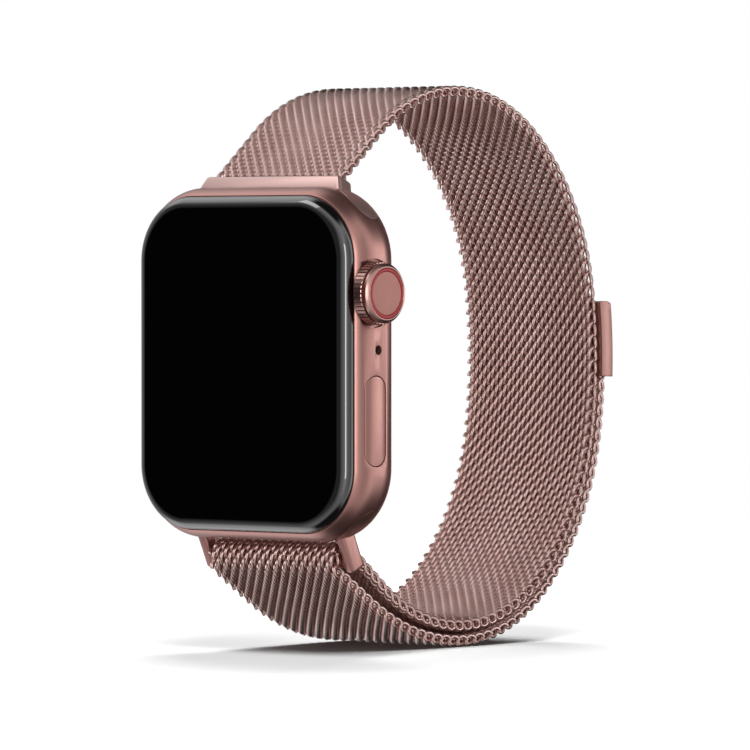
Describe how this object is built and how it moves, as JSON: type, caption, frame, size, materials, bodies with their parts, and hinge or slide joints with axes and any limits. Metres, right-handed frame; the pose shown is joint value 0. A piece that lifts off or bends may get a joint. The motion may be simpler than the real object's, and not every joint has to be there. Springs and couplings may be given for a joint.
{
  "type": "smartwatch",
  "caption": "Smartwatch with a rounded metal case, curved dark glass, turning crown, push button and a woven-mesh loop band closed by a magnetic clasp.",
  "frame": {"origin": "centre of the wrist opening, on the wrist's own axis, level with the middle of the case", "axes": "+X along the wrist out of the crown side, -Y out of the screen, +Z towards 12 o'clock"},
  "size_m": [0.0396, 0.0603, 0.0713],
  "materials": {
    "rose_gold_case": "satin",
    "cover_glass": "polished",
    "black_gasket": "matte",
    "display_stack": "gloss",
    "back_metal": "satin",
    "back_crystal": "polished",
    "light_window": "gloss",
    "dark_chip": "matte",
    "copper_winding": "satin",
    "magnet_steel": "satin",
    "battery_wrap": "matte",
    "board_green": "matte",
    "steel_hardware": "satin",
    "gold_contact": "satin",
    "black_plastic": "matte",
    "dark_grille": "matte",
    "rose_gold_crown": "satin",
    "red_ring": "satin",
    "crown_face": "satin",
    "rose_gold_button": "satin",
    "connector_metal": "satin",
    "woven_mesh": "polished wire",
    "clasp_metal": "satin"
  },
  "bodies": {
    "case": {"case_frame": "rose_gold_case", "display_glass": "cover_glass", "display_gasket": "black_gasket", "display_panel": "display_stack", "back_cover": "back_metal", "back_crystal": "back_crystal", "electrode_ring": "back_metal", "pulse_lights": "light_window", "pulse_cells": "dark_chip", "charging_coil": "copper_winding", "alignment_magnet": "magnet_steel", "battery": "battery_wrap", "logic_board": "board_green", "system_module": "dark_chip", "board_screws": "steel_hardware", "antenna": "gold_contact", "haptic_housing": "steel_hardware", "speaker_box": "black_plastic", "speaker_grille": "dark_grille", "microphone": "dark_chip", "microphone_mesh": "dark_grille", "crown_tube": "steel_hardware", "crown_seals": "black_gasket", "crown_housing": "steel_hardware", "crown_encoder": "dark_chip", "crown_switch": "gold_contact", "button_bracket": "steel_hardware", "button_switch": "gold_contact"},
    "crown_slider": {"crown_cup": "steel_hardware"},
    "crown_wheel": {"crown_shaft": "steel_hardware", "crown_cap": "rose_gold_crown", "crown_ring": "red_ring", "crown_disc": "crown_face"},
    "push_button": {"side_button": "rose_gold_button", "button_seal": "black_gasket"},
    "release_upper": {"upper_release": "rose_gold_button"},
    "release_lower": {"lower_release": "rose_gold_button"},
    "haptic_mass": {"haptic_weight": "magnet_steel"},
    "band": {"upper_connector": "connector_metal", "upper_latch_pin": "steel_hardware", "lower_connector": "connector_metal", "lower_latch_pin": "steel_hardware", "strap_top": "woven_mesh", "strap_upper_back": "woven_mesh", "strap_back": "woven_mesh", "strap_lower_back": "woven_mesh", "strap_bottom": "woven_mesh", "strap_fold": "woven_mesh"},
    "tail_1": {"strap_tail_1": "woven_mesh"},
    "tail_2": {"strap_tail_2": "woven_mesh"},
    "tail_3": {"strap_tail_3": "woven_mesh"},
    "tail_4": {"strap_tail_4": "woven_mesh"},
    "tail_5": {"strap_tail_5": "woven_mesh"},
    "tail_6": {"strap_tail_6": "woven_mesh"},
    "tail_7": {"strap_tail_7": "woven_mesh", "clasp_shell": "clasp_metal", "clasp_magnets": "magnet_steel", "clasp_plate": "clasp_metal"}
  },
  "joints": [
    {"name": "crown_press", "type": "slide", "parent": "case", "child": "crown_slider", "axis": [-1, 0, 0], "range_m": [0, 0.0003], "stiffness_N_per_m": 4000, "springref_m": -0.0002},
    {"name": "crown_turn", "type": "hinge", "parent": "crown_slider", "child": "crown_wheel", "pos_m": [0.0187, -0.0293, 0.0088], "axis": [1, 0, 0], "continuous": true},
    {"name": "side_button_press", "type": "slide", "parent": "case", "child": "push_button", "axis": [-1, 0, 0], "range_m": [0, 0.00025], "stiffness_N_per_m": 4000, "springref_m": -0.0002},
    {"name": "upper_release_press", "type": "slide", "parent": "case", "child": "release_upper", "axis": [0, -1, 0], "range_m": [0, 0.0005], "stiffness_N_per_m": 2000, "springref_m": -0.0002},
    {"name": "lower_release_press", "type": "slide", "parent": "case", "child": "release_lower", "axis": [0, -1, 0], "range_m": [0, 0.0005], "stiffness_N_per_m": 2000, "springref_m": -0.0002},
    {"name": "haptic_travel", "type": "slide", "parent": "case", "child": "haptic_mass", "axis": [1, 0, 0], "range_m": [-0.0003, 0.0003], "stiffness_N_per_m": 3000},
    {"name": "band_slide", "type": "slide", "parent": "case", "child": "band", "axis": [1, 0, 0], "range_m": [0, 0.04]},
    {"name": "tail_bend_1", "type": "hinge", "parent": "band", "child": "tail_1", "pos_m": [0, -0.01985, -0.03017], "axis": [-1, 0, 0], "range_deg": [0, 14]},
    {"name": "tail_bend_2", "type": "hinge", "parent": "tail_1", "child": "tail_2", "pos_m": [0, -0.01145, -0.03404], "axis": [-1, 0, 0], "range_deg": [0, 14]},
    {"name": "tail_bend_3", "type": "hinge", "parent": "tail_2", "child": "tail_3", "pos_m": [0, -0.00229, -0.03537], "axis": [-1, 0, 0], "range_deg": [0, 14]},
    {"name": "tail_bend_4", "type": "hinge", "parent": "tail_3", "child": "tail_4", "pos_m": [0, 0.00731, -0.03346], "axis": [-1, 0, 0], "range_deg": [0, 14]},
    {"name": "tail_bend_5", "type": "hinge", "parent": "tail_4", "child": "tail_5", "pos_m": [0, 0.01529, -0.02813], "axis": [-1, 0, 0], "range_deg": [0, 14]},
    {"name": "tail_bend_6", "type": "hinge", "parent": "tail_5", "child": "tail_6", "pos_m": [0, 0.02156, -0.0195], "axis": [-1, 0, 0], "range_deg": [0, 14]},
    {"name": "tail_bend_7", "type": "hinge", "parent": "tail_6", "child": "tail_7", "pos_m": [0, 0.02486, -0.00935], "axis": [-1, 0, 0], "range_deg": [0, 14]}
  ],
  "couplings": [
    {"joint": "tail_bend_2", "follows": "tail_bend_1", "ratio": 1},
    {"joint": "tail_bend_3", "follows": "tail_bend_1", "ratio": 1},
    {"joint": "tail_bend_4", "follows": "tail_bend_1", "ratio": 1},
    {"joint": "tail_bend_5", "follows": "tail_bend_1", "ratio": 1},
    {"joint": "tail_bend_6", "follows": "tail_bend_1", "ratio": 1},
    {"joint": "tail_bend_7", "follows": "tail_bend_1", "ratio": 1}
  ]
}
